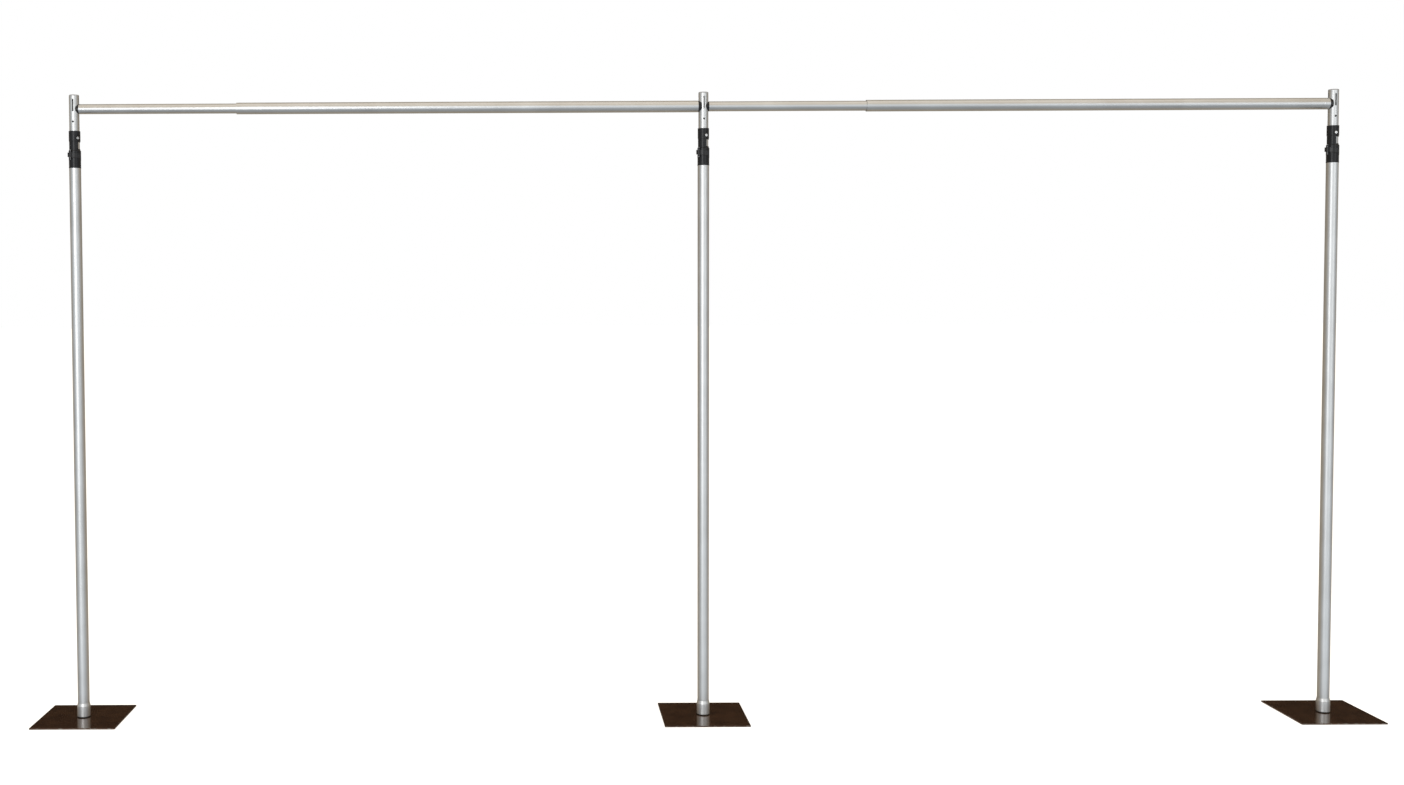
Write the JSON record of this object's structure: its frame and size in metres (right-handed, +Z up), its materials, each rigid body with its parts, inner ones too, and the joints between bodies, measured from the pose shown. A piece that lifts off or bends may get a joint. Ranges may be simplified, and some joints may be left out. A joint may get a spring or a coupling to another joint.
{
  "type": "background support stand",
  "caption": "Telescopic posts on square base plates joined by telescopic hook-on crossbars, for hanging a drape or paper backdrop behind a subject.",
  "frame": {"origin": "on the floor, on the axis of the centre post", "axes": "+Z up, +X along the crossbars, -Y the front"},
  "size_m": [5.21, 0.33, 2.44],
  "materials": {
    "plate_coating": "glossy dark brown-black powder coat",
    "tube_aluminium": "satin anodised, drawn along the tube",
    "plain_steel": "zinc plated",
    "bright_steel": "polished",
    "black_rubber": "matt black",
    "black_nylon": "moulded black, fine grain, slightly glossy",
    "grey_plastic": "silver grey moulding",
    "pale_nylon": "natural nylon"
  },
  "bodies": {
    "left_base": {"left_base_plate": "plate_coating", "left_spigot": "plain_steel", "left_spigot_bolt": "bright_steel"},
    "left_post": {"left_foot_ring": "black_rubber", "left_foot_collar": "tube_aluminium", "left_lower_tube": "tube_aluminium", "left_lock_body": "black_nylon", "left_lever_pin": "bright_steel", "left_drag_screw": "bright_steel"},
    "left_lever": {"left_lock_lever": "black_nylon"},
    "left_mast": {"left_upper_tube": "tube_aluminium", "left_guide_bush": "pale_nylon", "left_top_cap": "grey_plastic"},
    "centre_base": {"centre_base_plate": "plate_coating", "centre_spigot": "plain_steel", "centre_spigot_bolt": "bright_steel"},
    "centre_post": {"centre_foot_ring": "black_rubber", "centre_foot_collar": "tube_aluminium", "centre_lower_tube": "tube_aluminium", "centre_lock_body": "black_nylon", "centre_lever_pin": "bright_steel", "centre_drag_screw": "bright_steel"},
    "centre_lever": {"centre_lock_lever": "black_nylon"},
    "centre_mast": {"centre_upper_tube": "tube_aluminium", "centre_guide_bush": "pale_nylon", "centre_top_cap": "grey_plastic"},
    "right_base": {"right_base_plate": "plate_coating", "right_spigot": "plain_steel", "right_spigot_bolt": "bright_steel"},
    "right_post": {"right_foot_ring": "black_rubber", "right_foot_collar": "tube_aluminium", "right_lower_tube": "tube_aluminium", "right_lock_body": "black_nylon", "right_lever_pin": "bright_steel", "right_drag_screw": "bright_steel"},
    "right_lever": {"right_lock_lever": "black_nylon"},
    "right_mast": {"right_upper_tube": "tube_aluminium", "right_guide_bush": "pale_nylon", "right_top_cap": "grey_plastic"},
    "left_bar_thin": {"left_bar_thin_tube": "tube_aluminium", "left_bar_thin_plug": "black_nylon", "left_bar_thin_hook": "plain_steel", "left_bar_thin_pin": "bright_steel", "left_bar_tail_bush": "pale_nylon"},
    "left_bar_thick": {"left_bar_thick_tube": "tube_aluminium", "left_bar_thick_plug": "black_nylon", "left_bar_thick_hook": "plain_steel", "left_bar_thick_pin": "bright_steel", "left_bar_mouth_bush": "pale_nylon"},
    "right_bar_thin": {"right_bar_thin_tube": "tube_aluminium", "right_bar_thin_plug": "black_nylon", "right_bar_thin_hook": "plain_steel", "right_bar_thin_pin": "bright_steel", "right_bar_tail_bush": "pale_nylon"},
    "right_bar_thick": {"right_bar_thick_tube": "tube_aluminium", "right_bar_thick_plug": "black_nylon", "right_bar_thick_hook": "plain_steel", "right_bar_thick_pin": "bright_steel", "right_bar_mouth_bush": "pale_nylon"}
  },
  "joints": [
    {"name": "centre_post_lift", "type": "slide", "parent": "centre_base", "child": "centre_post", "axis": [0, 0, 1], "range_m": [0, 0.26]},
    {"name": "centre_height", "type": "slide", "parent": "centre_post", "child": "centre_mast", "axis": [0, 0, 1], "range_m": [-0.05, 1.2]},
    {"name": "left_spacing", "type": "slide", "parent": "centre_base", "child": "left_base", "axis": [-1, 0, 0], "range_m": [-0.6, 0.6]},
    {"name": "left_post_lift", "type": "slide", "parent": "left_base", "child": "left_post", "axis": [0, 0, 1], "range_m": [0, 0.26]},
    {"name": "left_height", "type": "slide", "parent": "left_post", "child": "left_mast", "axis": [0, 0, 1], "range_m": [-0.05, 1.2]},
    {"name": "right_spacing", "type": "slide", "parent": "centre_base", "child": "right_base", "axis": [1, 0, 0], "range_m": [-0.6, 0.6]},
    {"name": "right_post_lift", "type": "slide", "parent": "right_base", "child": "right_post", "axis": [0, 0, 1], "range_m": [0, 0.26]},
    {"name": "right_height", "type": "slide", "parent": "right_post", "child": "right_mast", "axis": [0, 0, 1], "range_m": [-0.05, 1.2]},
    {"name": "left_lever_turn", "type": "hinge", "parent": "left_post", "child": "left_lever", "pos_m": [-2.45008, -0.02494, 2.2075], "axis": [0, 0, -1], "range_deg": [0, 110]},
    {"name": "centre_lever_turn", "type": "hinge", "parent": "centre_post", "child": "centre_lever", "pos_m": [-0.01935, -0.01869, 2.2075], "axis": [0, 0, -1], "range_deg": [0, 110]},
    {"name": "right_lever_turn", "type": "hinge", "parent": "right_post", "child": "right_lever", "pos_m": [2.41506, -0.01008, 2.2075], "axis": [0, 0, -1], "range_deg": [0, 110]},
    {"name": "left_bar_lift", "type": "slide", "parent": "centre_mast", "child": "left_bar_thick", "axis": [0, 0, 1], "range_m": [0, 0.014]},
    {"name": "left_bar_reach", "type": "slide", "parent": "left_bar_thick", "child": "left_bar_thin", "axis": [-1, 0, 0], "range_m": [-0.6, 0.6]},
    {"name": "right_bar_lift", "type": "slide", "parent": "centre_mast", "child": "right_bar_thin", "axis": [0, 0, 1], "range_m": [0, 0.014]},
    {"name": "right_bar_reach", "type": "slide", "parent": "right_bar_thin", "child": "right_bar_thick", "axis": [1, 0, 0], "range_m": [-0.6, 0.6]}
  ],
  "couplings": [
    {"joint": "left_post_lift", "follows": "centre_post_lift", "ratio": 1},
    {"joint": "left_height", "follows": "centre_height", "ratio": 1},
    {"joint": "left_bar_reach", "follows": "left_spacing", "ratio": 1},
    {"joint": "right_post_lift", "follows": "centre_post_lift", "ratio": 1},
    {"joint": "right_height", "follows": "centre_height", "ratio": 1},
    {"joint": "right_bar_reach", "follows": "right_spacing", "ratio": 1}
  ]
}
